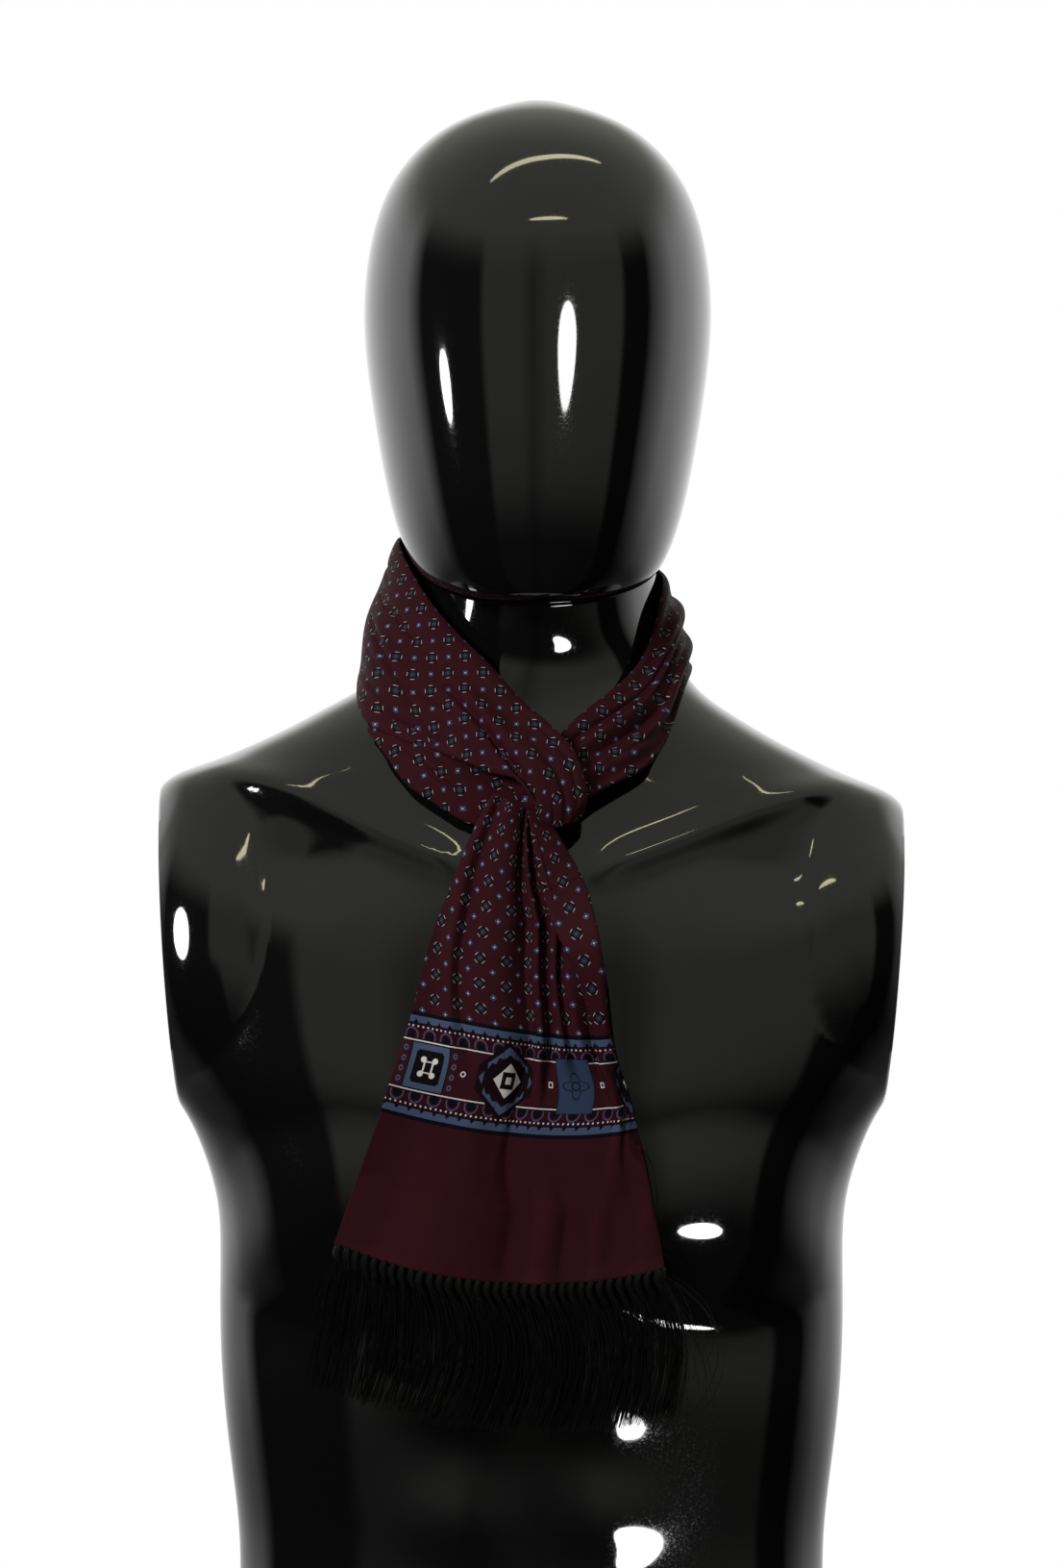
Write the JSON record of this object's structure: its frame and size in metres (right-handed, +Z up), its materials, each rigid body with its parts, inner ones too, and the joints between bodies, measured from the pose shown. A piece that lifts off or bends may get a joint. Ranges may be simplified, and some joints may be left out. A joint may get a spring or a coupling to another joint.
{
  "type": "fringed silk scarf on a headed torso form",
  "caption": "Printed silk scarf with fringed ends, crossed and tucked at the front of a glossy torso form with a plain head.",
  "frame": {"origin": "middle of the form's flat base, on the axis of the torso", "axes": "+Z up the form, -Y the way it faces, +X towards the viewer's right"},
  "size_m": [0.3654, 0.2399, 0.845],
  "materials": {
    "gloss_black_plastic": "high gloss, black",
    "burgundy_silk": "printed silk twill",
    "black_silk_fringe": "soft silk threads"
  },
  "bodies": {
    "root": {"form_torso": "gloss_black_plastic", "form_head": "gloss_black_plastic", "neck_back": "burgundy_silk", "neck_band_left": "burgundy_silk", "neck_band_right": "burgundy_silk", "band_left_lower": "burgundy_silk", "front_tail": "burgundy_silk", "back_tail": "burgundy_silk", "front_fringe": "black_silk_fringe", "back_fringe": "black_silk_fringe"}
  },
  "joints": []
}
